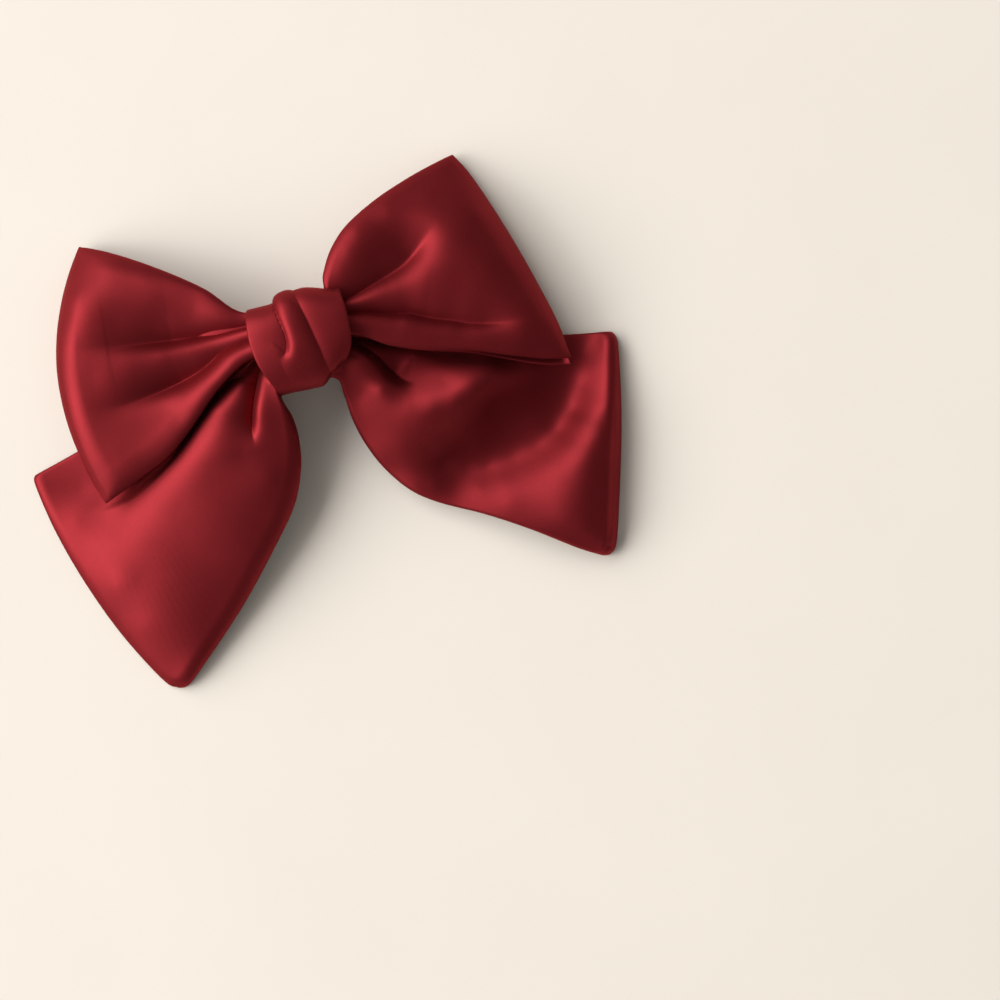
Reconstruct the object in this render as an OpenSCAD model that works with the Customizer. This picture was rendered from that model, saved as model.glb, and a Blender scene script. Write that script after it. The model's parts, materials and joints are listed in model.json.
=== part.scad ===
// Satin hair bow on a French barrette clip. Millimetres.
// +X runs along the clip to its catch, +Y to the top of the bow as it is worn, and
// +Z out of the hair through the face of the knot. The origin is the middle of
// the gap that holds the hair, between the tension leaf and the clasp arm.

/* [Bow] */
// Height of the surface that the bow lies on, below the hair gap
floor_drop = 7.2; // [7:0.1:8]
// Thickness of the satin edge where a petal closes
hem_t = 1.0; // [0.8:0.1:1.4]
// How far the middle of a loop stands above its two edges
loop_lift = 8; // [6:0.5:10]
// How far the middle of a tail stands above its two edges
tail_lift = 2; // [0:0.5:4]

/* [Knot] */
// Length of the knot along the clip
knot_l = 29; // [26:1:32]
// Height of the knot across the clip
knot_w = 30; // [28:1:32]
// Thickness of the folded satin in the knot
wrap_t = 1.6; // [1.2:0.1:2]
// Turns of thread that gather the waist
gather_turns = 7; // [4:1:9]
// Whip stitches that close the knot behind
seam_stitches = 6; // [4:1:8]

/* [Clip] */
// Length of the plate from end to end
plate_l = 81; // [78:1:84]
// Width of the plate
plate_w = 9; // [8:0.5:10]
// Thickness of the steel in the plate and arm
steel_t = 0.8; // [0.7:0.05:0.9]
// Radius that the plate is curved to
plate_r = 220; // [200:10:260]
// Radius that the clasp arm is curved to
arm_r = 300; // [280:10:340]
// Width of the clasp arm
arm_w = 6; // [5.5:0.25:6.5]
// Open height of the hair gap at its middle
hair_gap = 4.6; // [4.4:0.1:5]
// Radius of the hinge pin
pin_r = 0.6; // [0.5:0.05:0.7]
// Radius of the two sewing holes in the plate
sew_hole_r = 1.0; // [0.8:0.1:1.2]

/* [Hidden] */
// One name per separate piece

satin = [0.58, 0.11, 0.14];
satin_dark = [0.48, 0.08, 0.11];
thread_red = [0.42, 0.06, 0.09];
steel = [0.76, 0.76, 0.77];
spring_steel = [0.68, 0.69, 0.72];

curve_fn = 256;          // facets of the long plate and arm curves
fn = 48;                 // facets of pins, holes and knuckles

// Clip levels along Z, at the middle of the clip
arm_top = -hair_gap / 2;
leaf_low = hair_gap / 2;
leaf_t = 0.5;
plate_low = leaf_low + 3.1;
plate_top = plate_low + steel_t;

// Hinge
hinge_x = -33;
knuckle_r = 1.5;
knuckle_clear = 0.05;    // running clearance of the knuckle on its pin
ear_gap = 3.7;           // half the distance between the two ears
ear_len = 5;

// Catch
catch_x = 33;
prong_l = 4;             // size of a prong along the clip
prong_t = 0.6;
prong_y = 1.5;           // inner face of a prong from the middle of the clip
window_l = 6.8;
window_w = 5.0;
arm_head_w = 8;
arm_end_x = 38.5;

sew_hole_x = 37.5;
rivet_r = 0.8;

// Tension leaf
leaf_fix_x = -28;
leaf_free_x = 27;
leaf_w = 5;
leaf_r = 1400;
leaf_slope = 1.2;        // degrees that the free end hangs away from the plate
leaf_fix_z = plate_low - drop(plate_r, leaf_fix_x) + drop(leaf_r, leaf_fix_x) - 0.05;

// Knot levels
back_t = 0.6;            // one layer of satin behind the plate
wrap_low = plate_low - drop(plate_r, knot_l / 2) - back_t - 0.1;
knot_foot = 17;          // length of the knot at its lower edge
wrap_high = 24.5;
wrap_corner = 6;
waist_w = 25.4;          // outside of the gathering thread
waist_low = 7.3;
waist_high = 20.8;
waist_corner = 5;

// Height of an arc of radius r that peaks at x = 0
function drop(r, x) = r - sqrt(r * r - x * x);
function mix(a, b, t) = a * (1 - t) + b * t;
// Point at u on the cubic curve with the control points p
function bezier(p, u) = pow(1 - u, 3) * p[0] + 3 * u * pow(1 - u, 2) * p[1]
    + 3 * u * u * (1 - u) * p[2] + pow(u, 3) * p[3];

// ---------------------------------------------------------------- petals
rows = 18;               // rings from the waist to the outer edge
cols = 12;               // steps across a petal
mouth = 0.24;            // share of a petal's length that the knot hides

// Share of the lift at s: none inside the knot, then up and down again
function rise(s) = s < mouth ? 0 : sin(180 * (s - mouth) / (1 - mouth));

// One face point of a petal. side is 1 on the front and -1 on the back.
function petal_point(top, low, lift, full, bulge, s, t, side) =
    let (a = bezier(low, s), b = bezier(top, s), across = 4 * t * (1 - t),
         m = mix(a, b, t), body = hem_t + (bezier(full, s) - hem_t) * pow(across, 0.6),
         away = bulge * pow(s, 3) * across)
    [m[0] + away[0], m[1] + away[1],
     m[2] + lift * rise(s) * across + side * body / 2];

// A closed petal between two edge curves: front sheet, back sheet and the four rims.
// full holds the thickness along the petal as four control values.
module petal(top, low, lift, full, bulge) {
    n = (rows + 1) * (cols + 1);
    sheet = function(side) [for (i = [0:rows]) for (j = [0:cols])
        petal_point(top, low, lift, full, bulge, i / rows, j / cols, side)];
    at = function(side, i, j) (side < 0 ? n : 0) + i * (cols + 1) + j;
    flip = top[3][0] < 0;
    ordered = function(f) flip ? [f[2], f[1], f[0]] : f;
    quad = function(a, b, c, d) [ordered([a, b, c]), ordered([a, c, d])];
    faces = [
        for (i = [0:rows - 1]) for (j = [0:cols - 1]) each
            quad(at(1, i, j), at(1, i, j + 1), at(1, i + 1, j + 1), at(1, i + 1, j)),
        for (i = [0:rows - 1]) for (j = [0:cols - 1]) each
            quad(at(-1, i, j), at(-1, i + 1, j), at(-1, i + 1, j + 1), at(-1, i, j + 1)),
        for (i = [0:rows - 1]) each
            quad(at(1, i, 0), at(1, i + 1, 0), at(-1, i + 1, 0), at(-1, i, 0)),
        for (i = [0:rows - 1]) each
            quad(at(1, i, cols), at(-1, i, cols), at(-1, i + 1, cols), at(1, i + 1, cols)),
        for (j = [0:cols - 1]) each
            quad(at(1, 0, j), at(-1, 0, j), at(-1, 0, j + 1), at(1, 0, j + 1)),
        for (j = [0:cols - 1]) each
            quad(at(1, rows, j), at(1, rows, j + 1), at(-1, rows, j + 1), at(-1, rows, j))
    ];
    polyhedron(points = concat(sheet(1), sheet(-1)), faces = faces, convexity = 6);
}

rest = -floor_drop + hem_t / 2;   // middle of a hem that lies on the surface

module loop_left() {
    color(satin) petal(
        top = [[0, 11.6, 14], [-18, 9, 14], [-34, 32, 4], [-57, 43.6, rest]],
        low = [[0, -3.9, 14], [-18, -2, 14], [-38, -14, 11], [-67, -33, 5.4]],
        lift = loop_lift, full = [12, 12, 13, hem_t], bulge = [-15, 4]);
}

module loop_right() {
    color(satin) petal(
        top = [[0, 11.6, 14], [26, 2, 14], [4, 40, 6], [57.9, 43.7, rest]],
        low = [[0, -3.9, 14], [18, -2, 14], [46, -13, 11], [77.5, -25, 5.4]],
        lift = loop_lift, full = [12, 12, 13, hem_t], bulge = [6, 2]);
}

module tail_left() {
    color(satin_dark) petal(
        top = [[0, -4.2, 13], [-20, -6, 11], [-46, -10, -4], [-87.7, -20, rest]],
        low = [[0, -11.5, 13], [-26, -6, 11], [20, -56, 0], [-60, -92.3, rest]],
        lift = tail_lift, full = [11, 8, 8, hem_t], bulge = [-2, -2]);
}

module tail_right() {
    color(satin_dark) petal(
        top = [[0, -4.2, 13], [20, -6, 11], [48, -10, -4], [92.8, -20, rest]],
        low = [[0, -11.5, 13], [26, -6, 11], [-14, -56, 0], [74.5, -84.2, rest]],
        lift = tail_lift, full = [11, 8, 8, hem_t], bulge = [2, 0]);
}

// ---------------------------------------------------------------- knot
// Rounded box section across the clip, from z0 to z1, extruded along X
module ring_section(w, z0, z1, corner) {
    for (y = [-1, 1]) for (z = [z0 + corner, z1 - corner])
        translate([y * (w / 2 - corner), z]) circle(r = corner, $fn = fn);
    translate([0, (z0 + z1) / 2]) square([w, z1 - z0 - 2 * corner], center = true);
    translate([0, (z0 + z1) / 2]) square([w - 2 * corner, z1 - z0], center = true);
}

module along_x(length) {
    rotate([90, 0, 90]) linear_extrude(height = length, center = true) children();
}

module band(length, w, z0, z1, corner, t) {
    along_x(length) difference() {
        ring_section(w, z0, z1, corner);
        ring_section(w - 2 * t, z0 + t, z1 - t, corner - t);
    }
}

// Plan of the knot, which narrows towards the tails
module knot_plan() {
    half = knot_w / 2;
    polygon([[-knot_l / 2, half + 1], [-knot_l / 2, 2], [-knot_foot / 2, -half - 1],
             [knot_foot / 2, -half - 1], [knot_l / 2, -3], [knot_l / 2, half + 1]]);
}

module knot_wrap() {
    color(satin) intersection() {
        along_x(2 * knot_l) difference() {
            ring_section(knot_w, wrap_low, wrap_high, wrap_corner);
            ring_section(knot_w - 2 * wrap_t, wrap_low + back_t, wrap_high - wrap_t,
                         wrap_corner - wrap_t);
        }
        translate([0, 0, -20]) linear_extrude(height = 60) knot_plan();
    }
}

module gather_thread() {
    pitch = 0.9;
    color(thread_red) for (i = [0:gather_turns - 1])
        translate([(i - (gather_turns - 1) / 2) * pitch, 0, 0])
            band(0.6, waist_w, waist_low, waist_high, waist_corner, 0.5);
}

module knot_stitches() {
    pitch = 4;
    color(thread_red) for (i = [0:seam_stitches - 1])
        translate([(i - (seam_stitches - 1) / 2) * pitch, 9, wrap_low - 0.25])
            rotate([90, 0, 25]) cylinder(r = 0.25, h = 3, center = true, $fn = fn);
}

// ---------------------------------------------------------------- clip
// Steel strip of radius r, thickness t and the plan shape given, whose top
// reaches z at the middle of the clip
module curved_strip(r, t, z) {
    intersection() {
        translate([0, 0, z - r]) rotate([90, 0, 0])
            linear_extrude(height = 40, center = true) difference() {
                circle(r = r, $fn = curve_fn);
                circle(r = r - t, $fn = curve_fn);
            }
        translate([0, 0, -20]) linear_extrude(height = 40) children();
    }
}

module capsule(x0, x1, w) {
    translate([(x0 + x1) / 2, 0]) square([x1 - x0 - w, w], center = true);
    for (x = [x0 + w / 2, x1 - w / 2]) translate([x, 0]) circle(d = w, $fn = fn);
}

pin_z = arm_top - drop(arm_r, hinge_x) - steel_t + knuckle_r;
ear_r = 2;

module ear(side) {
    top_z = plate_top - drop(plate_r, hinge_x) - steel_t / 2;
    translate([hinge_x, side * (ear_gap + steel_t / 2), 0]) rotate([90, 0, 0])
        linear_extrude(height = steel_t, center = true) difference() {
            union() {
                translate([0, pin_z]) circle(r = ear_r, $fn = fn);
                translate([-ear_len / 2 + 0.5, pin_z]) square([ear_len - 1, top_z - pin_z]);
            }
            translate([0, pin_z]) circle(r = pin_r, $fn = fn);
        }
}

keeper_l = 3;
keeper_t = 0.6;

// Lug that is folded down beside the leaf and under its edge
module keeper(side) {
    low_z = leaf_fix_z - leaf_t - 0.9;
    high_z = plate_low;
    lip = 1.8;
    translate([leaf_fix_x + 2.5, side * (leaf_w / 2 + 0.2 + keeper_t / 2), (low_z + high_z) / 2])
        cube([keeper_l, keeper_t, high_z - low_z], center = true);
    translate([leaf_fix_x + 2.5, side * (leaf_w / 2 + 0.2 + keeper_t - lip / 2),
               low_z + keeper_t / 3])
        cube([keeper_l, lip, 2 * keeper_t / 3], center = true);
}

module barrette_plate() {
    color(steel) difference() {
        union() {
            curved_strip(plate_r, steel_t, plate_top)
                capsule(-plate_l / 2, plate_l / 2, plate_w);
            for (side = [-1, 1]) {
                ear(side);
                keeper(side);
            }
        }
        for (side = [-1, 1]) translate([side * sew_hole_x, 0, 0])
            cylinder(r = sew_hole_r, h = 20, center = true, $fn = fn);
        translate([catch_x, 0, 0]) cylinder(r = rivet_r, h = 20, center = true, $fn = fn);
    }
}

module hinge_pin() {
    half = ear_gap + steel_t;
    color(spring_steel) translate([hinge_x, 0, pin_z]) rotate([90, 0, 0]) {
        cylinder(r = pin_r, h = 2 * half, center = true, $fn = fn);
        for (side = [-1, 1]) translate([0, 0, side * (half + 0.2)])
            cylinder(r = 1.1, h = 0.4, center = true, $fn = fn);
    }
}

base_z = plate_low - drop(plate_r, catch_x + prong_l / 2 + 0.5) - 0.02;
base_t = 0.5;
head_t = 0.4;

module catch_base() {
    color(spring_steel) difference() {
        translate([catch_x, 0, base_z - base_t / 2])
            cube([prong_l + 1, 2 * prong_y + 3, base_t], center = true);
        translate([catch_x, 0, 0]) cylinder(r = rivet_r, h = 20, center = true, $fn = fn);
    }
}

module catch_rivet() {
    head_z = plate_top - drop(plate_r, catch_x - 1.5) + 0.02;
    color(steel) translate([catch_x, 0, 0]) {
        translate([0, 0, base_z - base_t - head_t]) cylinder(r = 1.2, h = head_t, $fn = fn);
        translate([0, 0, base_z - base_t - head_t / 2])
            cylinder(r = rivet_r, h = head_z - base_z + base_t + head_t, $fn = fn);
        translate([0, 0, head_z]) cylinder(r = 1.5, h = head_t, $fn = fn);
    }
}

rail_low = arm_top - drop(arm_r, catch_x + 3) - steel_t;
prong_top = base_z - base_t - 0.08;
prong_low = -floor_drop + 0.3;

module catch_prong(side) {
    barb = window_w / 2 - 0.08;
    color(spring_steel) translate([catch_x, 0, 0]) rotate([90, 0, 90])
        linear_extrude(height = prong_l, center = true) polygon([
            for (p = [[prong_y, prong_top], [prong_y + prong_t, prong_top],
                      [prong_y + prong_t, rail_low - 0.1], [barb, rail_low - 0.1],
                      [prong_y + prong_t, rail_low - 1.0], [prong_y + prong_t, prong_low],
                      [prong_y, prong_low]]) [side * p[0], p[1]]]);
}

module catch_prong_upper() { catch_prong(1); }

module catch_prong_lower() { catch_prong(-1); }

// Leaf spring that the two keeper lugs hold under the hinge end of the plate
module tension_leaf() {
    color(spring_steel) translate([leaf_fix_x, 0, leaf_fix_z])
        rotate([0, leaf_slope, 0]) translate([-leaf_fix_x, 0, 0])
            curved_strip(leaf_r, leaf_t, 0) capsule(leaf_fix_x, leaf_free_x, leaf_w);
}

module clasp_arm() {
    knuckle_w = 2 * ear_gap - 0.4;
    color(steel) {
        difference() {
            union() {
                curved_strip(arm_r, steel_t, arm_top) difference() {
                    union() {
                        translate([hinge_x, -arm_w / 2]) square([arm_end_x - hinge_x - 8, arm_w]);
                        capsule(catch_x - 5.5, arm_end_x, arm_head_w);
                    }
                    translate([catch_x, 0]) square([window_l, window_w], center = true);
                }
                translate([hinge_x, 0, pin_z]) rotate([90, 0, 0])
                    cylinder(r = knuckle_r, h = knuckle_w, center = true, $fn = fn);
            }
            translate([hinge_x, 0, pin_z]) rotate([90, 0, 0])
                cylinder(r = pin_r + knuckle_clear, h = 20, center = true, $fn = fn);
        }
    }
}

loop_left();
loop_right();
tail_left();
tail_right();
knot_wrap();
gather_thread();
knot_stitches();
barrette_plate();
hinge_pin();
catch_base();
catch_rivet();
catch_prong_upper();
catch_prong_lower();
tension_leaf();
clasp_arm();
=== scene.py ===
import json
import math
from collections import namedtuple

import bpy
import numpy as np
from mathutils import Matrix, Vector


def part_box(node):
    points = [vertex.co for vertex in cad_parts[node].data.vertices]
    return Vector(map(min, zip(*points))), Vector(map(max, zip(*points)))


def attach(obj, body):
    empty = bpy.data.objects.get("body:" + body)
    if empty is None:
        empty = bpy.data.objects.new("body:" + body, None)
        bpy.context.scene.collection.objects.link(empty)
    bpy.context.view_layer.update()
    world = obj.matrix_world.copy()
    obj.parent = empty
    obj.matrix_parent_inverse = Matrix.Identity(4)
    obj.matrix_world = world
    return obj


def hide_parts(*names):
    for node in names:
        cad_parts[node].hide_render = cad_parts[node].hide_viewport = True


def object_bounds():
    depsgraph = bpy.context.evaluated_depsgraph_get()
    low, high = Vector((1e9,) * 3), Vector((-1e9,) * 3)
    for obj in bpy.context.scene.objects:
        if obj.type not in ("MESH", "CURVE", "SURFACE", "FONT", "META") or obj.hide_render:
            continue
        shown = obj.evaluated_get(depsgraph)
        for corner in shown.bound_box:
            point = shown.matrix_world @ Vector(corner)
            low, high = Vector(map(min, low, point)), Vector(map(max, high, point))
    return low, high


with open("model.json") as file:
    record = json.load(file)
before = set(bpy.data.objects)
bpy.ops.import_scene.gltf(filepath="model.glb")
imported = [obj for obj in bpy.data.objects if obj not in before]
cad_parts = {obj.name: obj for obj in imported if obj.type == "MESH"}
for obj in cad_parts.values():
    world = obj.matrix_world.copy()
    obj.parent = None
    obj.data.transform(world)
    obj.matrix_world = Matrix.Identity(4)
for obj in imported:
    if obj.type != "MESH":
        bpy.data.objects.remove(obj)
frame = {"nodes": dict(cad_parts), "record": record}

cad_low, cad_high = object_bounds()

# The satin bow: four petals, the knot and its stitches, around the CAD clip.
# Shapes are worked out in millimetres in the row frame, and meshes are made in metres.
MM = 0.001
TABLE = cad_low.z / MM           # the surface that the bow lies on
SATIN_T = 0.9                    # a petal's fabric: two turned layers of satin
REST = TABLE + SATIN_T / 2       # middle of fabric that lies on the table
ROWS, COLS = 170, 150            # grid of one petal sheet
RIM_STEPS = 4                    # fine steps of a grid at a rounded border
EASE = 40.0                      # how much a height field smooths its points


# ------------------------------------------------------------------ curves and fields
def along(points, shares):
    """A smooth curve through the points, read at these shares of its length."""
    p = np.array(points, float)
    p = np.vstack([2 * p[0] - p[1], p, 2 * p[-1] - p[-2]])
    t = np.linspace(0, 1, 24, endpoint=False)[:, None]
    parts = [
        0.5 * (2 * b + (c - a) * t + (2 * a - 5 * b + 4 * c - d) * t**2 + (3 * b - a - 3 * c + d) * t**3)
        for a, b, c, d in zip(p[:-3], p[1:-2], p[2:-1], p[3:])
    ]
    line = np.vstack(parts + [p[-2:-1]])
    run = np.concatenate([[0], np.cumsum(np.linalg.norm(np.diff(line, axis=0), axis=1))])
    at = np.asarray(shares) * run[-1]
    return np.stack([np.interp(at, run, line[:, k]) for k in range(line.shape[1])], axis=-1)


def quarter(q):
    """A quarter circle: 0 at 0 with an upright start, and 1 from 1 on."""
    return np.sqrt(1 - (1 - np.clip(q, 0, 1)) ** 2)


def smooth(q):
    q = np.clip(q, 0, 1)
    return q * q * (3 - 2 * q)


def height_field(points):
    """A smooth surface near the points (x, y, z), as a function of x and y. With EASE at 0 it
    would go through them all, and a larger EASE makes it smoother."""
    p = np.array(points, float)

    def kernel(x, y):
        r2 = (x[..., None] - p[:, 0]) ** 2 + (y[..., None] - p[:, 1]) ** 2
        return r2 * np.log(r2 + 1e-9)

    n = len(p)
    ones = np.column_stack([np.ones(n), p[:, :2]])
    a = np.block([[kernel(p[:, 0], p[:, 1]) + EASE * np.eye(n), ones], [ones.T, np.zeros((3, 3))]])
    w = np.linalg.solve(a, np.concatenate([p[:, 2], np.zeros(3)]))
    return lambda x, y: kernel(x, y) @ w[:n] + w[n] + w[n + 1] * x + w[n + 2] * y


# A crease along a line. side is +1 if the fabric is raised on the left of the line, and -1 if
# on its right. fade is the share of the line over which the crease dies out at its end. Each of
# the others has two or more values, spread evenly from the line's start to its end. On the
# raised side the fabric rises within near and sinks away over reach. On the other side it
# slopes down to the crease over lead, or falls off a ledge of the height drop. dip is the
# depth of the crease, and soft rounds it.
Fold = namedtuple("Fold", "line side rise dip near reach lead soft drop fade")
FOLD_STEPS = 70                  # points along a crease
LEDGE_NEAR, LEDGE_REACH = 1.2, 20  # how fast a ledge falls off, and how slowly it comes back


def fold(line, side, rise, dip, near=(1.2, 3), reach=(7, 9), lead=(2.5, 7), soft=(0.2, 2),
         drop=(0, 0), fade=0.25):
    return Fold(line, side, rise, dip, near, reach, lead, soft, drop, fade)


def fold_height(f, x, y):
    """What one fold adds to the height at x, y."""
    line = along(f.line, np.linspace(0, 1, FOLD_STEPS))
    run = np.linspace(0, 1, len(line))
    best = np.full(x.shape, np.inf)
    share, sign = np.zeros(x.shape), np.ones(x.shape)
    for a, b, s0, s1 in zip(line[:-1], line[1:], run[:-1], run[1:]):
        d = b - a
        t = np.clip(((x - a[0]) * d[0] + (y - a[1]) * d[1]) / (d @ d), 0, 1)
        ex, ey = x - a[0] - t * d[0], y - a[1] - t * d[1]
        far = np.hypot(ex, ey)
        nearer = far < best
        best = np.where(nearer, far, best)
        share = np.where(nearer, s0 + (s1 - s0) * t, share)
        sign = np.where(nearer, np.sign(d[0] * ey - d[1] * ex + 1e-12), sign)

    def value(knots):
        return np.interp(share, np.linspace(0, 1, len(knots)), knots)

    soft = value(f.soft)
    q = np.sqrt(best**2 + soft**2) - soft
    strength = 1 - smooth((share - 1 + f.fade) / f.fade)
    rise, dip, drop = value(f.rise), value(f.dip), value(f.drop)
    turn = np.exp(-q / value(f.near))
    raised = rise * (1 - turn) * np.exp(-q / value(f.reach)) - dip * turn
    ledge = drop * (1 - np.exp(-q / LEDGE_NEAR)) * np.exp(-q / LEDGE_REACH)
    sunk = -dip * np.exp(-q / value(f.lead)) - ledge
    return strength * np.where(sign == f.side, raised, sunk)


# ------------------------------------------------------------------ meshes
def new_object(name, verts, faces, uv=None):
    mesh = bpy.data.meshes.new(name)
    mesh.from_pydata([tuple(v) for v in verts * MM], [], faces)
    mesh.polygons.foreach_set("use_smooth", [True] * len(mesh.polygons))
    if uv is not None:
        layer = mesh.uv_layers.new(name="cloth")
        corner = np.zeros(len(mesh.loops), int)
        mesh.loops.foreach_get("vertex_index", corner)
        layer.data.foreach_set("uv", (uv[corner] * MM).ravel())
    mesh.update()
    made = bpy.data.objects.new(name, mesh)
    bpy.context.scene.collection.objects.link(made)
    return made


def unit(v):
    return v / np.maximum(np.linalg.norm(v, axis=-1, keepdims=True), 1e-9)


def cloth(name, middle, half, ring=False):
    """A closed skin around a grid of middle points, half a thickness out on each face.
    Where half is 0, at the borders, the two faces meet. ring joins the first row to the last."""
    n, m = middle.shape[:2]
    if ring:
        du = (np.roll(middle, -1, 0) - np.roll(middle, 1, 0)) / 2
    else:
        du = np.gradient(middle, axis=0)
    normal = unit(np.cross(du, np.gradient(middle, axis=1)))
    front, back = middle + normal * half[..., None], middle - normal * half[..., None]
    border = np.zeros((n, m), bool)
    border[:, [0, -1]] = True
    if not ring:
        border[[0, -1]] = True
    ids = np.arange(n * m).reshape(n, m)
    other = ids.copy()
    other[~border] = n * m + np.arange((~border).sum())
    verts = np.vstack([front.reshape(-1, 3), back[~border]])
    step_u = np.linalg.norm(np.diff(middle, axis=0), axis=2).mean(1)
    step_v = np.linalg.norm(np.diff(middle, axis=1), axis=2).mean(0)
    u, v = np.concatenate([[0], np.cumsum(step_u)]), np.concatenate([[0], np.cumsum(step_v)])
    flat = np.stack(np.meshgrid(u, v, indexing="ij"), -1)
    uv = np.vstack([flat.reshape(-1, 2), flat[~border]])
    last = n if ring else n - 1
    faces = []
    for i in range(last):
        k = (i + 1) % n
        for j in range(m - 1):
            faces.append((ids[i, j], ids[i, j + 1], ids[k, j + 1], ids[k, j])[::-1])
            faces.append((other[i, j], other[k, j], other[k, j + 1], other[i, j + 1])[::-1])
    return new_object(name, verts, [tuple(int(c) for c in f) for f in faces], uv)


def rim_shares(width, count, rim):
    """Shares across a width with a few fine steps, of a quarter circle, at each side."""
    fine = rim * (1 - np.cos(np.linspace(0, math.pi / 2, RIM_STEPS + 1)))
    inner = np.linspace(rim, width - rim, count - 2 * RIM_STEPS)
    return np.concatenate([fine[:-1], inner, width - fine[:-1][::-1]]) / width


def patch(low, top, near, far, u, v):
    """Grid inside four border curves. v holds one row of shares for each u."""
    lo, hi = along(low, u)[:, None], along(top, u)[:, None]
    start = np.stack([along(near, row) for row in v])
    end = np.stack([along(far, row) for row in v])
    u, v = u[:, None, None], v[..., None]
    corners = (
        (1 - u) * (1 - v) * np.array(near[0]) + (1 - u) * v * np.array(near[-1])
        + u * (1 - v) * np.array(far[0]) + u * v * np.array(far[-1])
    )
    return (1 - v) * lo + v * hi + (1 - u) * start + u * end - corners


def petal_grid(low, top, far, end_rim):
    """Grid of a petal from the waist to its outer border, finer at the borders. end_rim is
    how much of the outer border is rounded, or 0 for a loop, which turns over there."""
    near = [low[0], [(a + b) / 2 for a, b in zip(low[0], top[0])], top[0]]
    u = np.linspace(0, 1, ROWS)
    if end_rim:
        length = np.linalg.norm(np.diff(along(low, np.linspace(0, 1, 40)), axis=0), axis=1).sum()
        rim, fine = end_rim / length, np.linspace(0, math.pi / 2, RIM_STEPS + 1)[1:]
        cut = -RIM_STEPS - 1
        u = np.concatenate([u[:cut] / u[cut] * (1 - rim), 1 - rim * (1 - np.sin(fine))])
    else:
        u = np.sin(u * math.pi / 2) ** 0.9
    widths = np.linalg.norm(along(low, u) - along(top, u), axis=1)
    v = np.stack([rim_shares(w, COLS, SATIN_T / 2) for w in widths])
    return patch(low, top, near, far, u, v), u, v, widths


# How a sheet rolls over at a border: it falls by lift within reach of the border.
Roll = namedtuple("Roll", "lift reach")


def rolled(u, v, widths, length, low, top, far, far_lift):
    """How far a sheet falls below its field at its borders."""
    across = v * widths[:, None]
    return (
        low.lift * (1 - quarter(across / low.reach))
        + top.lift * (1 - quarter((widths[:, None] - across) / top.reach))
        + far_lift * (1 - quarter((1 - u[:, None]) * length / far.reach))
    )


def border_points(low, top, far, low_roll, top_roll, far_lift):
    """Points of a sheet's field above its border curves, where it has yet to roll over."""
    shares = np.linspace(0.03, 0.97, 9)
    points = []
    for curve, lift in ((low, low_roll.lift), (top, top_roll.lift)):
        at = along(curve, shares)
        points += [(x, y, z + lift) for x, y, z in at]
    for (x, y, z), lift in zip(along(far, shares), far_lift(shares)):
        points.append((x, y, z + lift))
    return points


def rim_half(v, widths, ends):
    """Half the fabric's thickness, rounded off at the borders. ends holds the rows that are
    thinner, each with its share."""
    across = v * widths[:, None]
    near_side = np.minimum(across, widths[:, None] - across) / (SATIN_T / 2)
    half = SATIN_T / 2 * quarter(near_side)
    for row, share in ends:
        half[row] *= share
    return half


def lifted(curve, heights):
    """The same curve in plan with other heights."""
    return [(x, y, z) for (x, y, _), z in zip(curve, heights)]


# The gathered satin that fills the knot. The petals swell to it there.
PACKED_TO, PACKED_EASE = 12, 5   # it ends this far from the knot's middle, easing off over this
WAIST_Y, WAIST_Z = 1, 12         # its middle
WAIST_R, WAIST_POWER = 10.8, 0.4  # its reach along y, and how square its section is
WAIST_UP, WAIST_DOWN = 8.8, 4.6  # how far it swells above and below its middle


def packed(x):
    """1 where the satin is packed tight in the knot, and 0 outside it."""
    return smooth((PACKED_TO - np.abs(x)) / PACKED_EASE)


def waist(y):
    """The round section of the gathered satin, from 0 at its sides to 1 in its middle."""
    return np.clip(1 - ((y - WAIST_Y) / WAIST_R) ** 2, 0, 1) ** WAIST_POWER


LOOP_GAP = 0.06                  # half the least air between a loop's two sheets
LOOP_TURN = 0.97                 # share of a loop's length where its sheets start to join
CREASE_STOP = 5                  # a loop's creases end over this length before its outer fold


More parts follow.
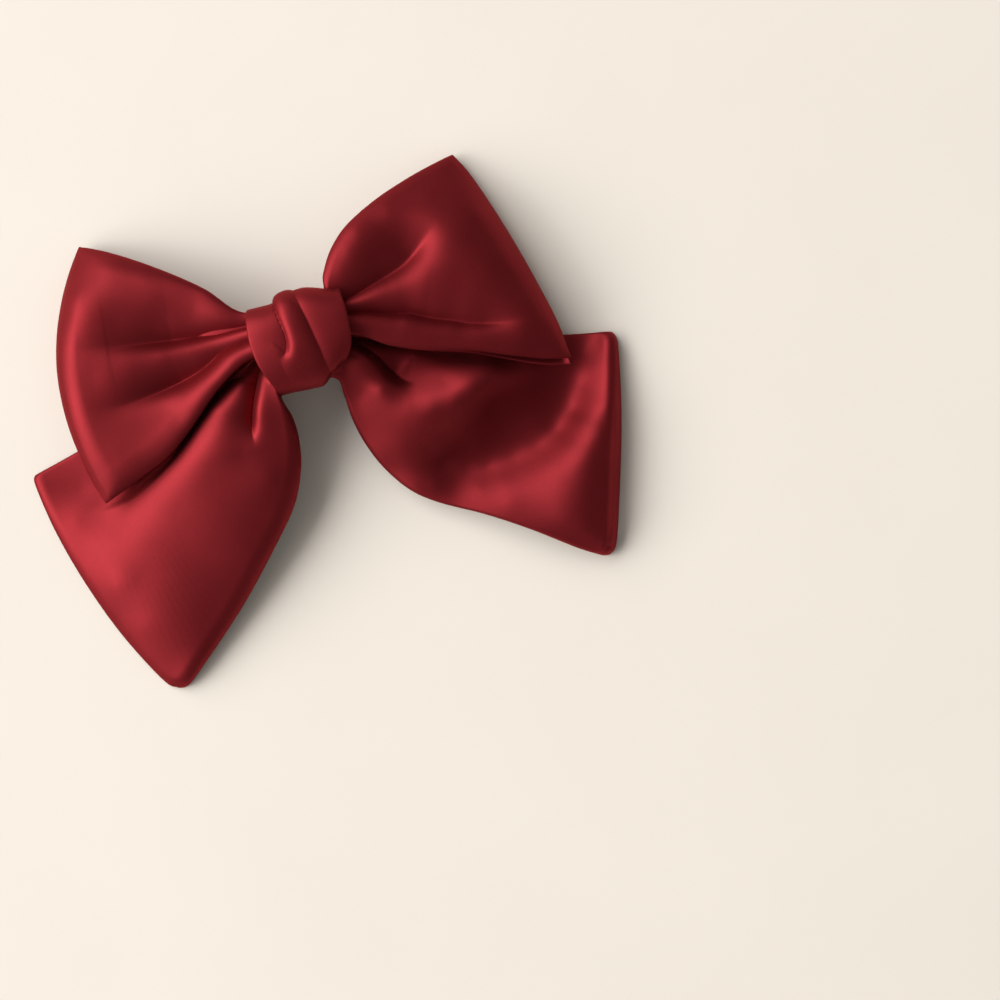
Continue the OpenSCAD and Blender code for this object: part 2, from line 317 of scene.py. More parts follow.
def loop_petal(name, low, low_back, top, far, front_points, back_points, folds, rolls, lip=0.0):
    """A loop: a front sheet, a round turn at the outer border, and a back sheet. low_back holds
    the heights of the back sheet's lower border, and lip is how far that border shows below."""
    low_roll, top_roll, far_roll = rolls
    grid, u, v, widths = petal_grid(low, top, far, 0)
    length = np.linalg.norm(np.diff(grid[:, COLS // 2], axis=0), axis=1).sum()
    x, y = grid[..., 0], grid[..., 1]

    def turn_lift(share):
        return far_roll.lift * np.sin(math.pi * np.clip(share, 0, 1)) ** 0.6

    far_lift = turn_lift(v)
    roll = rolled(u, v, widths, length, low_roll, top_roll, far_roll, far_lift)
    points = front_points + border_points(low, top, far, low_roll, top_roll, turn_lift)
    front_z = height_field(points)(x, y) - roll
    inside = smooth((1 - u[:, None]) * length / CREASE_STOP)
    for f in folds:
        front_z = front_z + fold_height(f, x, y) * inside
    under = lifted(low, low_back)
    none = Roll(0, 1)
    points = back_points + border_points(under, top, far, none, none, lambda s: -turn_lift(s))
    back_z = height_field(points)(x, y) + rolled(u, v, widths, length, none, none, far_roll, far_lift)
    above = np.maximum(WAIST_Z + WAIST_UP * waist(y) - front_z, 0)
    below = np.maximum(back_z - WAIST_Z + WAIST_DOWN * waist(y), 0)
    front_z, back_z = front_z + packed(x) * above, back_z - packed(x) * below
    joined = smooth((u[:, None] - LOOP_TURN) / (1 - LOOP_TURN))
    apart = (SATIN_T / 2 + LOOP_GAP) * (1 - 0.9 * joined)
    front, back = grid.copy(), grid.copy()
    front[..., 2] = np.maximum(front_z, back_z) + apart
    back[..., 2] = back_z - apart
    back[..., 1] -= lip * smooth(u[:, None] * 2 - 0.9) * (1 - v) ** 3
    turn = (front[-1, :, 2] + back[-1, :, 2]) / 2
    front[-1, :, 2] = turn
    sheet = np.concatenate([front, back[-2::-1]])
    vv = np.concatenate([v, v[-2::-1]])
    ww = np.concatenate([widths, widths[-2::-1]])
    half = rim_half(vv, ww, [(0, 0), (1, 0.7), (-1, 0), (-2, 0.7)])
    sheet[..., 2] = np.maximum(sheet[..., 2], TABLE + half)
    return cloth(name, sheet, half)


BUNCH = 4.4                      # half the height of a tail's gathered satin in the knot
BUNCH_Z, BUNCH_RISE, BUNCH_R = 11.2, 5, 12.5  # its middle: the lowest, its rise, its reach in y
BUNCH_RIM = 1.2                  # its rounding at the tail's borders
BUNCH_LOW, BUNCH_EASE = -12, 4   # y where it starts, and the length over which it grows


def bunch_middle(y):
    """The middle of a tail's gathered satin under the knot's round top."""
    return BUNCH_Z + BUNCH_RISE * np.sqrt(np.clip(1 - (y / BUNCH_R) ** 2, 0, 1))


# The groove where the turned-in edge of a tail's end stops: its distance from the end, its
# depth and width, and the share of the end, from its lower corner, that it runs along.
Hem = namedtuple("Hem", "inset depth width share")


def tail_petal(name, low, top, far, points, folds, rolls, hem=Hem(0, 0, 1, 1)):
    """A tail: one panel of turned fabric, folded and arched."""
    low_roll, top_roll, far_roll = rolls
    grid, u, v, widths = petal_grid(low, top, far, SATIN_T / 2)
    length = np.linalg.norm(np.diff(grid[:, COLS // 2], axis=0), axis=1).sum()
    x, y = grid[..., 0], grid[..., 1]
    points = points + border_points(low, top, far, low_roll, top_roll, lambda s: s * 0 + far_roll.lift)
    z = height_field(points)(x, y)
    for f in folds:
        z = z + fold_height(f, x, y)
    z = z - rolled(u, v, widths, length, low_roll, top_roll, far_roll, far_roll.lift)
    inset = (1 - u[:, None]) * length
    z = z - hem.depth * np.exp(-((inset - hem.inset) / hem.width) ** 2) * smooth((hem.share - v) / 0.15)
    across = v * widths[:, None]
    bunch = quarter(np.minimum(across, widths[:, None] - across) / BUNCH_RIM) * packed(x)
    bunch = bunch * smooth((y - BUNCH_LOW) / BUNCH_EASE)
    half = rim_half(v, widths, [(0, 0), (1, 0.7), (-1, 0), (-2, 0.7), (-3, 0.9)])
    half[1:] += BUNCH * bunch[1:]
    grid[..., 2] = np.maximum(z + bunch * (bunch_middle(y) - z), TABLE + half)
    return cloth(name, grid, half)


# ------------------------------------------------------------------ petals
def make_loop_left():
    return loop_petal(
        "loop_left_satin",
        low=[(0, -3.9, 12.5), (-13.5, -2, 13), (-25, -7.6, 12.2), (-37.5, -18.2, 10.6),
             (-46, -24.3, 8.8), (-55, -28.2, 7), (-67.2, -33, 5.2)],
        low_back=[11.5, 11, 9, 7, 5.5, 4.5, 4.2],
        top=[(0, 11.6, 12), (-13.4, 11.9, 11.6), (-23.3, 21.6, 9), (-32.8, 29.1, 6.6),
             (-42.6, 35.8, 3.4), (-50, 40.2, 0.5), (-57.2, 43.8, -4.4)],
        far=[(-67.2, -33, 5.2), (-69.8, -24.5, 4.8), (-72, -13, 4.2), (-72.7, -2, 3.6), (-71.9, 9, 2.8),
             (-69.6, 19, 1.4), (-66.2, 28, -0.6), (-62, 36.5, -2.8), (-57.2, 43.8, -4.4)],
        front_points=[(-14, 4, 14), (-27, 17, 11), (-27, 2, 12), (-40, 29, 9.6), (-40, 22, 10.8),
                      (-40, 14, 10.4), (-40, 5, 11.8), (-40, -4, 11.4), (-40, -14, 11.6),
                      (-50, 34, 7.4), (-51, 26, 10), (-51, 18, 10.4), (-51, 4, 11.8), (-51, -5, 11.4),
                      (-51, -15, 11), (-61, 28, 8.4), (-62, 21, 9.8), (-62, 14, 10),
                      (-62, 4, 10.6), (-62, -8, 10.6), (-60, -20, 10.4)],
        back_points=[(-14, 4, 9), (-35, 12, 4), (-35, -6, 4.5), (-55, 22, -3), (-55, 0, -1)],
        folds=[
            fold([(-6, 7.6), (-14, 7.6), (-22, 7.9), (-30, 8.6), (-38, 9.5),
                  (-46, 10.6), (-54, 11.8), (-62, 13.1), (-67, 14)], 1,
                 rise=(2.5, 2.2, 1.4), dip=(2.5, 4.8, 3.6), near=(1.2, 2.6, 4), reach=(5, 8),
                 lead=(2.5, 6, 8), soft=(0.2, 0.8, 1.6), fade=0.5),
            fold([(-6, 4.4), (-14, 3.5), (-19, 3), (-23, 1.9), (-27, -0.3), (-31, -2),
                  (-38, -3.8), (-47, -5.1), (-56, -5.8), (-63, -4.6), (-68, -3.6)], 1,
                 rise=(3, 2.4, 1.4), dip=(3, 5.4, 4), near=(1.2, 3.4, 5.5), reach=(7, 10, 14),
                 lead=(3, 6, 8), soft=(0.2, 0.7, 1.4), fade=0.5),
        ],
        rolls=(Roll(3.4, 7), Roll(3.4, 6), Roll(6.4, 7)),
    )


def make_loop_right():
    return loop_petal(
        "loop_right_satin",
        low=[(0, -3.9, 13.5), (15.5, -2.2, 14), (26.6, -8.2, 13.4), (37, -12.2, 12.2),
             (49.9, -15.6, 10.4), (59.8, -19.2, 8.2), (69.8, -22.7, 5.6), (77.6, -24.4, 4)],
        low_back=[11, 10.6, 9, 8, 7, 5.6, 4.2, 3.2],
        top=[(0, 11.6, 14), (10.5, 11.7, 14), (12.4, 17, 13), (16.3, 23.7, 11), (22.5, 29.7, 9),
             (32.7, 35.3, 5.5), (45, 40, 0.5), (57.9, 43.7, -5.2)],
        far=[(77.6, -24.4, 4), (76.4, -14, 2.8), (73.9, -2.7, 1), (70.4, 10.5, -1),
             (66.2, 24, -2.8), (61.6, 36.6, -4.4), (57.9, 43.7, -5.2)],
        front_points=[(15, 5, 15.6), (17.5, 17, 15.4), (21, 22, 14.6), (25, 27, 13), (29, 18, 12.8),
                      (27, 5, 15), (35, 31, 10), (37, 20, 10.8), (40, 6, 14.4), (42, 13, 13),
                      (40, -5, 14.4), (47, 32, 7), (50, 20, 11.4), (52, 5, 13), (53, -10, 13.2),
                      (60, 25, 6.6), (62, 10, 10.2), (64, -5, 11.6), (66, -15, 11.4)],
        back_points=[(14, 4, 9), (30, 14, 4), (35, -2, 5), (50, 25, -2), (55, 5, 0)],
        folds=[
            fold([(6, 7.5), (14, 8.2), (20, 9), (28, 11.4), (35, 13.8), (39.5, 16.5), (43, 19.4),
                  (46, 22.6), (48.4, 25.8)], -1,
                 rise=(1.8, 2), dip=(1.8, 3.4, 3), near=(1.0, 5), reach=(5, 9), lead=(3, 6.5),
                 soft=(0.2, 1.4), fade=0.3),
            fold([(6, 5), (16, 4.2), (22, 3), (30, 0.7), (34, -0.2), (38, -2.1), (42, -3.8),
                  (46, -5.2), (51, -7.2), (60, -9.2), (71, -10)], -1,
                 rise=(2, 2, 1.6), dip=(2.4, 4, 2), near=(0.8, 2.4, 3), reach=(6, 8),
                 lead=(2.5, 5, 7), soft=(0.2, 0.8, 1.2)),
        ],
        rolls=(Roll(1.0, 1.6), Roll(1.6, 3), Roll(5.4, 6)),
        lip=2.0,
    )


def make_tail_left():
    return tail_petal(
        "tail_left_satin",
        low=[(0, -11.5, 12), (-8.5, -14.2, 10.4), (-7, -22, 8.2), (-6.8, -28.4, 6.6), (-8.4, -37, 4.6),
             (-13, -47, 2.4), (-22, -58, 0), (-36.2, -73.2, -3), (-54.5, -89.6, -5.8),
             (-58.6, -92.2, REST)],
        top=[(0, -3.9, 11), (-13.5, -1.8, 9), (-25, -4, 4), (-40, -7, -1), (-56, -11, -4),
             (-71.9, -15.5, -6), (-87.2, -19.6, REST)],
        far=[(-58.6, -92.2, REST), (-61, -91.6, REST), (-64.7, -88.2, REST), (-73.5, -71.6, REST),
             (-80.5, -53.5, REST), (-85.2, -36.8, REST), (-87.6, -22.5, REST),
             (-87.2, -19.6, REST)],
        points=[(-11, -10, 12.5), (-20, -8, 13), (-29, -13.5, 12), (-37, -21, 10), (-45, -27.5, 7.5),
                (-53, -32, 4.6), (-61, -35.5, 1.4), (-69, -37, -1.4), (-78, -36, -2.8),
                (-74, -27, -4.6), (-12, -24, 11.6), (-24, -28, 10.8), (-18, -38, 10),
                (-34, -32, 9.4), (-32, -46, 7.2), (-46, -40, 6), (-60, -44, 3.2),
                (-70, -46, 0.6), (-46, -56, 4.6), (-63, -58, 2.2), (-71, -58, 0.4), (-30, -60, 4.6),
                (-52, -72, 2), (-66, -72, -0.6), (-62, -81, -2)],
        folds=[
            fold([(-9, -1.2), (-13.5, -2.3), (-17, -4.4), (-25, -8.9), (-32.2, -14.5),
                  (-37.8, -20.6), (-45.5, -26.6), (-53.5, -30.9), (-61, -34), (-69, -35.6),
                  (-77, -35.5)], 1,
                 rise=(3, 2.6), dip=(0, 0), near=(5, 6), reach=(40, 40), drop=(4, 6),
                 soft=(0.2, 0.6), fade=0.45),
            fold([(-9, -1), (-13, -6.3), (-15.8, -12.2), (-18, -17.7), (-19.4, -23.2), (-19.8, -29)], 1,
                 rise=(0, 0), dip=(3, 6, 5.4, 2), near=(0.6, 0.7, 0.9, 2), reach=(5, 6),
                 lead=(3, 6, 7, 6), soft=(0.1, 0.3), fade=0.35),
            fold([(-64.4, -87.6), (-63, -89.4), (-60.6, -90.6), (-58.4, -90.6)], 1,
                 rise=(0.3, 0.3), dip=(0.6, 0.6), near=(0.5, 0.5), reach=(1, 1), lead=(0.5, 0.5),
                 soft=(0.1, 0.1), fade=0.2),
        ],
        rolls=(Roll(4, 5), Roll(0.6, 1), Roll(1.6, 3)),
    )


def make_tail_right():
    return tail_petal(
        "tail_right_satin",
        low=[(0, -11.5, 12), (8.6, -13.6, 9), (9.6, -19, 5.6), (10.1, -26, 2.4), (11.9, -34, -0.4),
             (15.6, -42.6, -2.2), (21.5, -50.8, -2.8), (29, -56.6, -2.4), (42, -63.6, -0.8),
             (54, -71.2, 0.4), (66, -79.8, -2), (73, -84, REST)],
        top=[(0, -3.9, 11), (15, -2, 9), (28, -5, 4), (44, -9, -1), (60, -13, -4),
             (77.3, -17, -5.5), (91.4, -19.5, REST)],
        far=[(73, -84, REST), (75.6, -84, REST), (78, -80.8, REST), (82.2, -67.3, REST),
             (86.4, -52.6, REST), (89.6, -39.5, REST), (92.4, -25, REST), (92.5, -21, REST),
             (91.4, -19.5, REST)],
        points=[(12, -12, 11), (18, -10, 13), (15, -20, 7.8), (21, -20, 11.4), (15, -30, 4.2),
                (21, -30, 7.4), (26, -31, 9), (17, -38, 2), (22, -38, 4.2), (27, -38, 5.2),
                (20, -45, 0), (26, -45, 1), (24, -50, 0), (29, -51, 0.2),
                (26, -14, 4.4), (32, -14, 4.6), (38, -15, 6), (44, -18, 7.6), (28, -22, 8.8),
                (34, -22, 9.4), (40, -23, 10.4), (28, -27, 11), (34, -29, 12.2), (41, -29.5, 12.8),
                (47, -27, 13), (52, -24, 11.6), (57, -27, 7), (60, -22, 3.4), (36, -36, 6.6),
                (34, -41, 3), (44, -36, 5.4), (52, -33, 4.4), (44, -42, 0.4), (54, -39, 0),
                (63, -33, -0.6), (63, -40, -2.4), (33, -46, -2.4), (40, -48.5, -3.6),
                (46, -49.8, -3.6), (54, -49.5, -3), (62, -48, -2.8), (69, -45, -3.6),
                (75, -40, -4.6), (79, -33, -5.2), (81, -26, -5.4),
                (34, -55, -1.4), (42, -56, -0.4), (50, -56, 0.4), (58, -56, 1.6), (66, -55, 3),
                (72, -51, 2.8), (77, -45, 1.2), (50, -62, 2.6), (60, -62, 4), (69, -60, 5),
                (76, -55, 4.8), (81, -49, 3.6), (85, -41, 2), (87, -34, 0), (87, -28, -2),
                (64, -70, 4.8), (73, -66, 5), (70, -76, 3.4)],
        folds=[
            fold([(10, -1.5), (15.3, -3), (24.8, -7.1), (34.5, -11.7), (41.8, -15.2), (46.3, -18.4),
                  (51.1, -20.8), (57.7, -22)], -1,
                 rise=(0.8, 0.5), dip=(0, 0), near=(2, 2), reach=(8, 8), drop=(1, 3.5),
                 soft=(0.2, 0.6), fade=0.3),
            fold([(11, -2.5), (16.5, -5), (21.5, -10), (24.4, -15), (27.6, -19), (32, -21)], -1,
                 rise=(1.6, 1.6), dip=(1.4, 2.8), near=(1.2, 1.6), reach=(6, 5), lead=(3, 4),
                 soft=(0.2, 0.6), fade=0.3),
            fold([(80.2, -77.4), (79, -80), (76.8, -81.6), (74, -82)], -1,
                 rise=(0.3, 0.3), dip=(0.8, 0.8), near=(0.6, 0.6), reach=(1, 1), lead=(0.6, 0.6),
                 soft=(0.1, 0.1), fade=0.2),
        ],
        rolls=(Roll(1.4, 2), Roll(0.6, 1), Roll(6.5, 4.5)),
        hem=Hem(inset=2.6, depth=0.5, width=0.45, share=0.7),
    )


# ------------------------------------------------------------------ knot
KNOT_T = 1.2                     # folded satin in front, and the back layer is thinner
KNOT_THIN = 0.45                 # share of that thickness behind the plate
KNOT_MID = 13.0                  # height of the knot's widest place
KNOT_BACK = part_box("knot_wrap")[0].z / MM + 0.3  # height of its back, just inside the CAD solid
KNOT_WIDTH = 29.0                # along the bow
BACK_LEFT, BACK_RIGHT = -10.5, 11.0  # x of its sides behind the plate
TOP_POWER, LOW_POWER = 2 / 2.7, 2 / 2.1  # how round its section is above and below y = 0
PLEAT_ROOM = 0.6                 # room in front for the pleat
KNOT_DROOP = 0.10                # share by which its front sinks toward its two sides


def knot_top(share):
    """How far the knot reaches up along y, from its left side at 0 to its right side at 1."""
    return 11.6 + 2.2 * smooth((share - 0.2) / 0.35) - 2.6 * smooth((share - 0.6) / 0.4)


def knot_low(share):
    """How far the knot reaches down along y."""
    return -14.2 + 3.0 * smooth((share - 0.75) / 0.25)


def make_knot():
    """The strip of satin once round the waist and the clip's plate."""
    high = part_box("knot_wrap")[1] / MM
    around, across = 240, 90
    phi = np.linspace(0, 2 * math.pi, around, endpoint=False)[:, None]
    half = KNOT_T / 2 * np.ones((around, across))
    share = rim_shares(KNOT_WIDTH, across, KNOT_T / 2)[None, :]
    side, up = np.cos(phi), np.sin(phi)
    power = np.where(side > 0, TOP_POWER, LOW_POWER)
    y_shape = np.sign(side) * np.abs(side) ** power
    z_shape = np.sign(up) * np.abs(up) ** power
    crest = 1 - KNOT_DROOP * (2 * share - 1) ** 4
    y = np.where(y_shape > 0, y_shape * knot_top(share), -y_shape * knot_low(share))
    z_top = high.z - KNOT_T / 2 - PLEAT_ROOM
    z = KNOT_MID + np.where(z_shape > 0, z_shape * (z_top - KNOT_MID) * crest,
                            z_shape * (KNOT_MID - KNOT_BACK))
    left = along([(-12.4, 13), (-13.2, 8.4), (-13.5, 1.9), (-12.8, -4), (-11.2, -8.4), (-8.5, -14.5)],
                 np.linspace(0, 1, 60))
    right = along([(16.2, 10.8), (16.6, 6), (16.5, -0.5), (15.6, -6.5), (13, -10.8), (8.4, -13.2)],
                  np.linspace(0, 1, 60))
    y_mid = y.mean(1)
    x_left = np.interp(-y_mid, -left[:, 1], left[:, 0])[:, None]
    x_right = np.interp(-y_mid, -right[:, 1], right[:, 0])[:, None]
    behind = smooth(-up * 2)
    x_left = x_left + (BACK_LEFT - x_left) * behind
    x_right = x_right + (BACK_RIGHT - x_right) * behind
    x = x_left + (x_right - x_left) * share
    middle = np.stack([x, y, z], -1)
    out = unit(np.stack([np.zeros_like(y), y, (z - KNOT_MID) * 1.5], -1))
    folds = [
        fold([(-4.9, 18), (-4.6, 14), (-4, 11.2), (-3.2, 6.6), (-2.6, 2.7), (-2.6, -0.8),
              (-3.7, -3.4), (-6.4, -4.2)], 1,
             rise=(2.2, 1.6), dip=(0.5, 0.6), near=(0.7, 1), reach=(7, 6), lead=(2, 3),
             soft=(0.1, 0.4), fade=0.2),
        fold([(1.6, 18), (2.3, 14.5), (2.9, 11.1), (4.4, 5.3), (5.5, -0.3), (6.3, -4.6),
              (6.8, -8.5), (7.6, -13), (8, -17)], -1,
             rise=(1.4, 1.8), dip=(0.5, 0.8), near=(2, 3), reach=(5, 5), lead=(1.6, 2),
             soft=(0.2, 0.4), fade=0.05),
    ]
    push = sum(fold_height(f, x, y) for f in folds) * smooth(up * 1.5 + 0.6)
    middle = middle + out * push[..., None]
    half = half * quarter(np.minimum(share, 1 - share) * KNOT_WIDTH / (KNOT_T / 2))
    half = half * (1 - (1 - KNOT_THIN) * smooth(-up * 3))
    return cloth("knot_satin", middle, half, ring=True)


# ------------------------------------------------------------------ stitches
def tube(points, radius, sides=10):
    """Corners and faces of a round thread along the points, closed at both ends."""
    p = np.array(points, float)
    ahead = unit(np.gradient(p, axis=0))
    side = unit(np.cross(ahead, (0, 0, 1)))
    up = np.cross(side, ahead)
    turn = np.linspace(0, 2 * math.pi, sides, endpoint=False)[:, None]
    rings = p[:, None] + radius * (np.cos(turn) * side[:, None] + np.sin(turn) * up[:, None])
    first, last = len(p) * sides, len(p) * sides + 1
    faces = []
    for j in range(sides):
        k = (j + 1) % sides
        for i in range(len(p) - 1):
            a, b = i * sides, (i + 1) * sides
            faces.append((a + j, b + j, b + k, a + k))
        faces.append((first, j, k))
        faces.append((last, last - 1 - sides + k, last - 1 - sides + j))
    return np.vstack([rings.reshape(-1, 3), p[0], p[-1]]), faces


def make_stitches():
    """The whip stitches that close the knot behind: each one bows out of the satin."""
    count, length, radius, slant = 6, 3.4, 0.25, math.radians(25)
    out, dive = 0.1, 0.6         # the middle of a stitch stands out, and its ends go in
    low, high = (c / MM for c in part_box("knot_stitches"))
    ahead = np.array([-math.sin(slant), math.cos(slant), 0])
    edge = length / 2 * math.sin(slant) + radius
    t = np.linspace(-1, 1, 15)
    verts, faces = [], []
    for x in np.linspace(low.x + edge, high.x - edge, count):
        line = np.array([x, (low.y + high.y) / 2, 0]) + np.outer(t * length / 2, ahead)
        top = knot_top((line[:, 0] - BACK_LEFT) / (BACK_RIGHT - BACK_LEFT))
        drop = (1 - (line[:, 1] / top) ** (2 / TOP_POWER)) ** (TOP_POWER / 2)
        satin_z = KNOT_MID - drop * (KNOT_MID - KNOT_BACK) - KNOT_THIN * KNOT_T / 2
        line[:, 2] = satin_z - out + dive * t**4
        corners, skin = tube(line, radius)
        start = sum(len(v) for v in verts)
        verts.append(corners)
        faces += [tuple(start + c for c in face) for face in skin]
    return new_object("whip_stitches", np.vstack(verts), faces)


# ------------------------------------------------------------------ materials
def nodes_of(name):
    material = bpy.data.materials.new(name)
    material.use_nodes = True
    tree = material.node_tree
    tree.nodes.clear()
    output = tree.nodes.new("ShaderNodeOutputMaterial")
    shader = tree.nodes.new("ShaderNodeBsdfPrincipled")
    tree.links.new(shader.outputs["BSDF"], output.inputs["Surface"])
    return material, tree, shader


def add(tree, kind, **values):
    """A node with its settings and its unlinked inputs. A key that starts with in_ is an input."""
    node = tree.nodes.new(kind)
    for key, value in values.items():
        if key.startswith("in_"):
            node.inputs[key[3:].replace("_", " ")].default_value = value
        else:
            setattr(node, key, value)
    return node


def noise(tree, scale, detail, stretch=None):
    place = add(tree, "ShaderNodeTexCoord")
    source = place.outputs["Object"]
    if stretch:
        mapping = add(tree, "ShaderNodeMapping", in_Scale=stretch)
        tree.links.new(source, mapping.inputs["Vector"])
        source = mapping.outputs["Vector"]
    node = add(tree, "ShaderNodeTexNoise", in_Scale=scale, in_Detail=detail)
    tree.links.new(source, node.inputs["Vector"])
    return node.outputs["Fac"]


def ramp(tree, source, stops):
    node = add(tree, "ShaderNodeValToRGB")
    while len(node.color_ramp.elements) < len(stops):
        node.color_ramp.elements.new(0.5)
    for element, (place, colour) in zip(node.color_ramp.elements, stops):
        element.position, element.color = place, (*colour, 1)
    tree.links.new(source, node.inputs["Fac"])
    return node.outputs["Color"]


def satin_material(name):
    """Heavy duchess satin: a deep red with a soft wide gloss and long fine floats of yarn."""
    material, tree, shader = nodes_of(name)
    colour = ramp(tree, noise(tree, 90, 4), [(0.3, (0.218, 0.0142, 0.0190)), (0.7, (0.246, 0.0160, 0.0216))])
    yarn_place = add(tree, "ShaderNodeUVMap", uv_map="cloth")
    stretch = add(tree, "ShaderNodeMapping", in_Scale=(700, 5200, 1))
    tree.links.new(yarn_place.outputs["UV"], stretch.inputs["Vector"])
    yarn = add(tree, "ShaderNodeTexNoise", in_Scale=1.0, in_Detail=2.0)
    tree.links.new(stretch.outputs["Vector"], yarn.inputs["Vector"])
    shade = ramp(tree, yarn.outputs["Fac"], [(0.25, (0.90, 0.90, 0.90)), (0.75, (1.0, 1.0, 1.0))])
    mix = add(tree, "ShaderNodeMixRGB", blend_type="MULTIPLY", in_Fac=1.0)
    tree.links.new(colour, mix.inputs["Color1"])
    tree.links.new(shade, mix.inputs["Color2"])
    tree.links.new(mix.outputs["Color"], shader.inputs["Base Color"])
    shader.inputs["Metallic"].default_value = 0.95
    shader.inputs["Roughness"].default_value = 0.54
    shader.inputs["Specular IOR Level"].default_value = 0.35
    shader.inputs["Specular Tint"].default_value = (1.0, 0.45, 0.45, 1)
    shader.inputs["Coat Weight"].default_value = 0.1
    shader.inputs["Coat Roughness"].default_value = 0.5
    shader.inputs["Sheen Weight"].default_value = 0.05
    shader.inputs["Sheen Roughness"].default_value = 0.4
    shader.inputs["Sheen Tint"].default_value = (0.9, 0.25, 0.28, 1)
    coarse = add(tree, "ShaderNodeBump", in_Strength=0.10, in_Distance=0.0002)
    tree.links.new(noise(tree, 2600, 2), coarse.inputs["Height"])
    fine = add(tree, "ShaderNodeBump", in_Strength=0.18, in_Distance=0.00004)
    tree.links.new(yarn.outputs["Fac"], fine.inputs["Height"])
    tree.links.new(coarse.outputs["Normal"], fine.inputs["Normal"])
    tree.links.new(fine.outputs["Normal"], shader.inputs["Normal"])
    return material


def thread_material():
    material, tree, shader = nodes_of("sewing_thread")
    twist = add(tree, "ShaderNodeTexWave", in_Scale=1400.0, in_Distortion=1.0)
    place = add(tree, "ShaderNodeTexCoord")
    tree.links.new(place.outputs["Object"], twist.inputs["Vector"])
    colour = ramp(tree, twist.outputs["Fac"], [(0.2, (0.14, 0.008, 0.014)), (0.8, (0.30, 0.018, 0.028))])
    tree.links.new(colour, shader.inputs["Base Color"])
    shader.inputs["Roughness"].default_value = 0.7
    bump = add(tree, "ShaderNodeBump", in_Strength=0.6, in_Distance=0.0001)
    tree.links.new(twist.outputs["Fac"], bump.inputs["Height"])
    tree.links.new(bump.outputs["Normal"], shader.inputs["Normal"])
    return material


def steel_material(name, dark, light, roughness):
    """Plated or bare stamped steel with fine brush lines along the clip."""
    material, tree, shader = nodes_of(name)
    lines = noise(tree, 900, 3, stretch=(0.04, 1, 1))
    smudge = noise(tree, 60, 3)
    colour = ramp(tree, lines, [(0.25, dark), (0.75, light)])
    tree.links.new(colour, shader.inputs["Base Color"])
    rough = add(tree, "ShaderNodeMapRange", in_To_Min=roughness - 0.06, in_To_Max=roughness + 0.1)
    tree.links.new(smudge, rough.inputs["Value"])
    tree.links.new(rough.outputs["Result"], shader.inputs["Roughness"])
    shader.inputs["Metallic"].default_value = 1.0
    bump = add(tree, "ShaderNodeBump", in_Strength=0.15, in_Distance=0.00005)
    tree.links.new(lines, bump.inputs["Height"])
    tree.links.new(bump.outputs["Normal"], shader.inputs["Normal"])
    return material


# ------------------------------------------------------------------ table, light, camera
TABLE_HALF = 900                 # half the table's side, in millimetres


def make_table():
    """A plain table that can be seen through from below, so that the clip can be looked at."""
    material, tree, shader = nodes_of("cream_paper")
    output = tree.nodes["Material Output"]
    mottle = noise(tree, 14, 5)
    colour = ramp(tree, mottle, [(0.3, (0.85, 0.80, 0.73)), (0.7, (0.87, 0.82, 0.75))])
    tree.links.new(colour, shader.inputs["Base Color"])
    shader.inputs["Roughness"].default_value = 0.9
    shader.inputs["Specular IOR Level"].default_value = 0.1
    clear = add(tree, "ShaderNodeBsdfTransparent")
    sided = add(tree, "ShaderNodeMixShader")
    tree.links.new(add(tree, "ShaderNodeNewGeometry").outputs["Backfacing"], sided.inputs["Fac"])
    tree.links.new(shader.outputs["BSDF"], sided.inputs[1])
    tree.links.new(clear.outputs["BSDF"], sided.inputs[2])
    tree.links.new(sided.outputs["Shader"], output.inputs["Surface"])
    corners = np.array([(a * TABLE_HALF, b * TABLE_HALF, TABLE)
                        for a, b in ((-1, -1), (1, -1), (1, 1), (-1, 1))], float)
    table = new_object("table", corners, [(0, 1, 2, 3)])
    table.data.materials.append(material)


DAYLIGHT = (1.0, 0.975, 0.95)    # the colour of both lights


def area_light(name, place, width, height, power):
    """A rectangle of daylight that faces the bow."""
    data = bpy.data.lights.new(name, "AREA")
    data.shape, data.size, data.size_y = "RECTANGLE", width, height
    data.energy, data.color = power, DAYLIGHT
    lamp = bpy.data.objects.new(name, data)
    bpy.context.scene.collection.objects.link(lamp)
    lamp.location = place
    lamp.rotation_euler = (-Vector(place)).to_track_quat("-Z", "Y").to_euler()


PHOTO_TURN = math.radians(14)    # the bow lies turned by this in the camera's view
VIEW_SIDE = 0.300                # side of the square that the camera sees
VIEW_CENTRE = (0.0470, -0.0606)  # its middle


def make_camera():
    data = bpy.data.cameras.new("camera")
    data.lens, data.sensor_width = 150, 36
    camera = bpy.data.objects.new("camera", data)
    bpy.context.scene.collection.objects.link(camera)
    camera.location = (*VIEW_CENTRE, VIEW_SIDE * data.lens / data.sensor_width)
    camera.rotation_euler = (0, 0, -PHOTO_TURN)
    bpy.context.scene.camera = camera


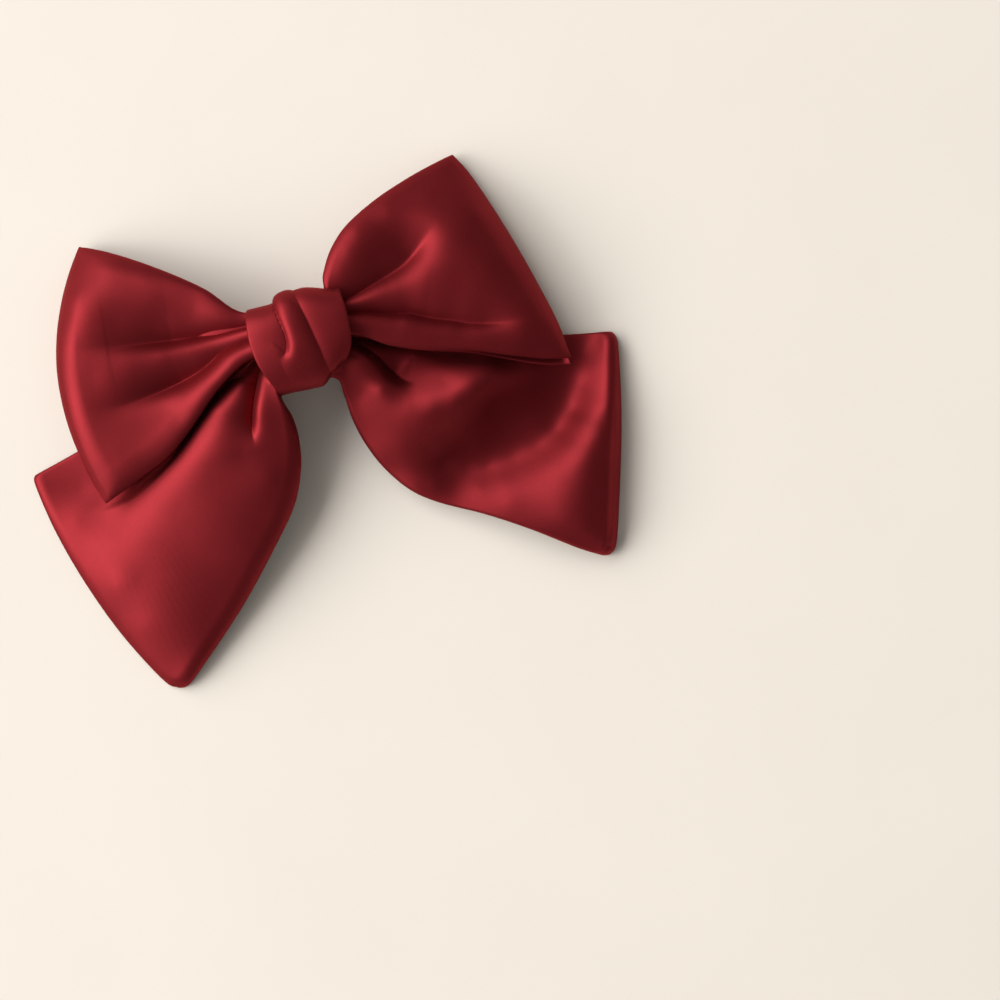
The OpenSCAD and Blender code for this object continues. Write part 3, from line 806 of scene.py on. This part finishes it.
def make_lights():
    """Two soft lights, a weak fill, and a pale backdrop that only the camera sees."""
    area_light("window", (-2.40, 1.77, 2.34), 5.2, 3.0, 206)
    area_light("side", (-3.25, -0.52, 1.88), 3.1, 2.1, 72)
    world = bpy.data.worlds.new("studio")
    bpy.context.scene.world = world
    world.use_nodes = True
    tree = world.node_tree
    fill = tree.nodes["Background"]
    fill.inputs["Color"].default_value = (1.0, 0.97, 0.92, 1)
    fill.inputs["Strength"].default_value = 0.24
    backdrop = add(tree, "ShaderNodeBackground", in_Color=(0.90, 0.85, 0.78, 1), in_Strength=0.9)
    mix = add(tree, "ShaderNodeMixShader")
    tree.links.new(add(tree, "ShaderNodeLightPath").outputs["Is Camera Ray"], mix.inputs["Fac"])
    tree.links.new(fill.outputs["Background"], mix.inputs[1])
    tree.links.new(backdrop.outputs["Background"], mix.inputs[2])
    tree.links.new(mix.outputs["Shader"], tree.nodes["World Output"].inputs["Surface"])
    bpy.context.scene.view_settings.view_transform = "Standard"


# ------------------------------------------------------------------ assembly
make_camera()
satin = satin_material("red_satin")
thread = thread_material()
plated = steel_material("plated_steel", (0.55, 0.55, 0.57), (0.80, 0.80, 0.81), 0.26)
spring = steel_material("spring_steel", (0.42, 0.43, 0.46), (0.64, 0.65, 0.68), 0.34)
finishes = {"satin": satin, "thread": thread, "clip_steel": plated, "spring_steel": spring}

for part in frame["record"]["subparts"]:
    node = frame["nodes"][part["node"]]
    node.data.materials.clear()
    node.data.materials.append(finishes[part["material_slot"]])

petals = {
    "loop_left": (make_loop_left, (0.125, 0.077), "folded", ["tail_left_satin"]),
    "loop_right": (make_loop_right, (0.130, 0.072), "folded", ["tail_right_satin"]),
    "tail_left": (make_tail_left, (0.095, 0.080), "gathered", []),
    "tail_right": (make_tail_right, (0.093, 0.079), "gathered", []),
}
for node, (make, flat, held, rests_on) in petals.items():
    piece = make()
    piece.data.materials.append(satin)
    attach(piece, "bow")
    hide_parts(node)

knot = make_knot()
knot.data.materials.append(satin)
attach(knot, "bow")
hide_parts("knot_wrap")

stitches = make_stitches()
stitches.data.materials.append(thread)
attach(stitches, "bow")
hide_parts("knot_stitches")

make_table()
make_lights()
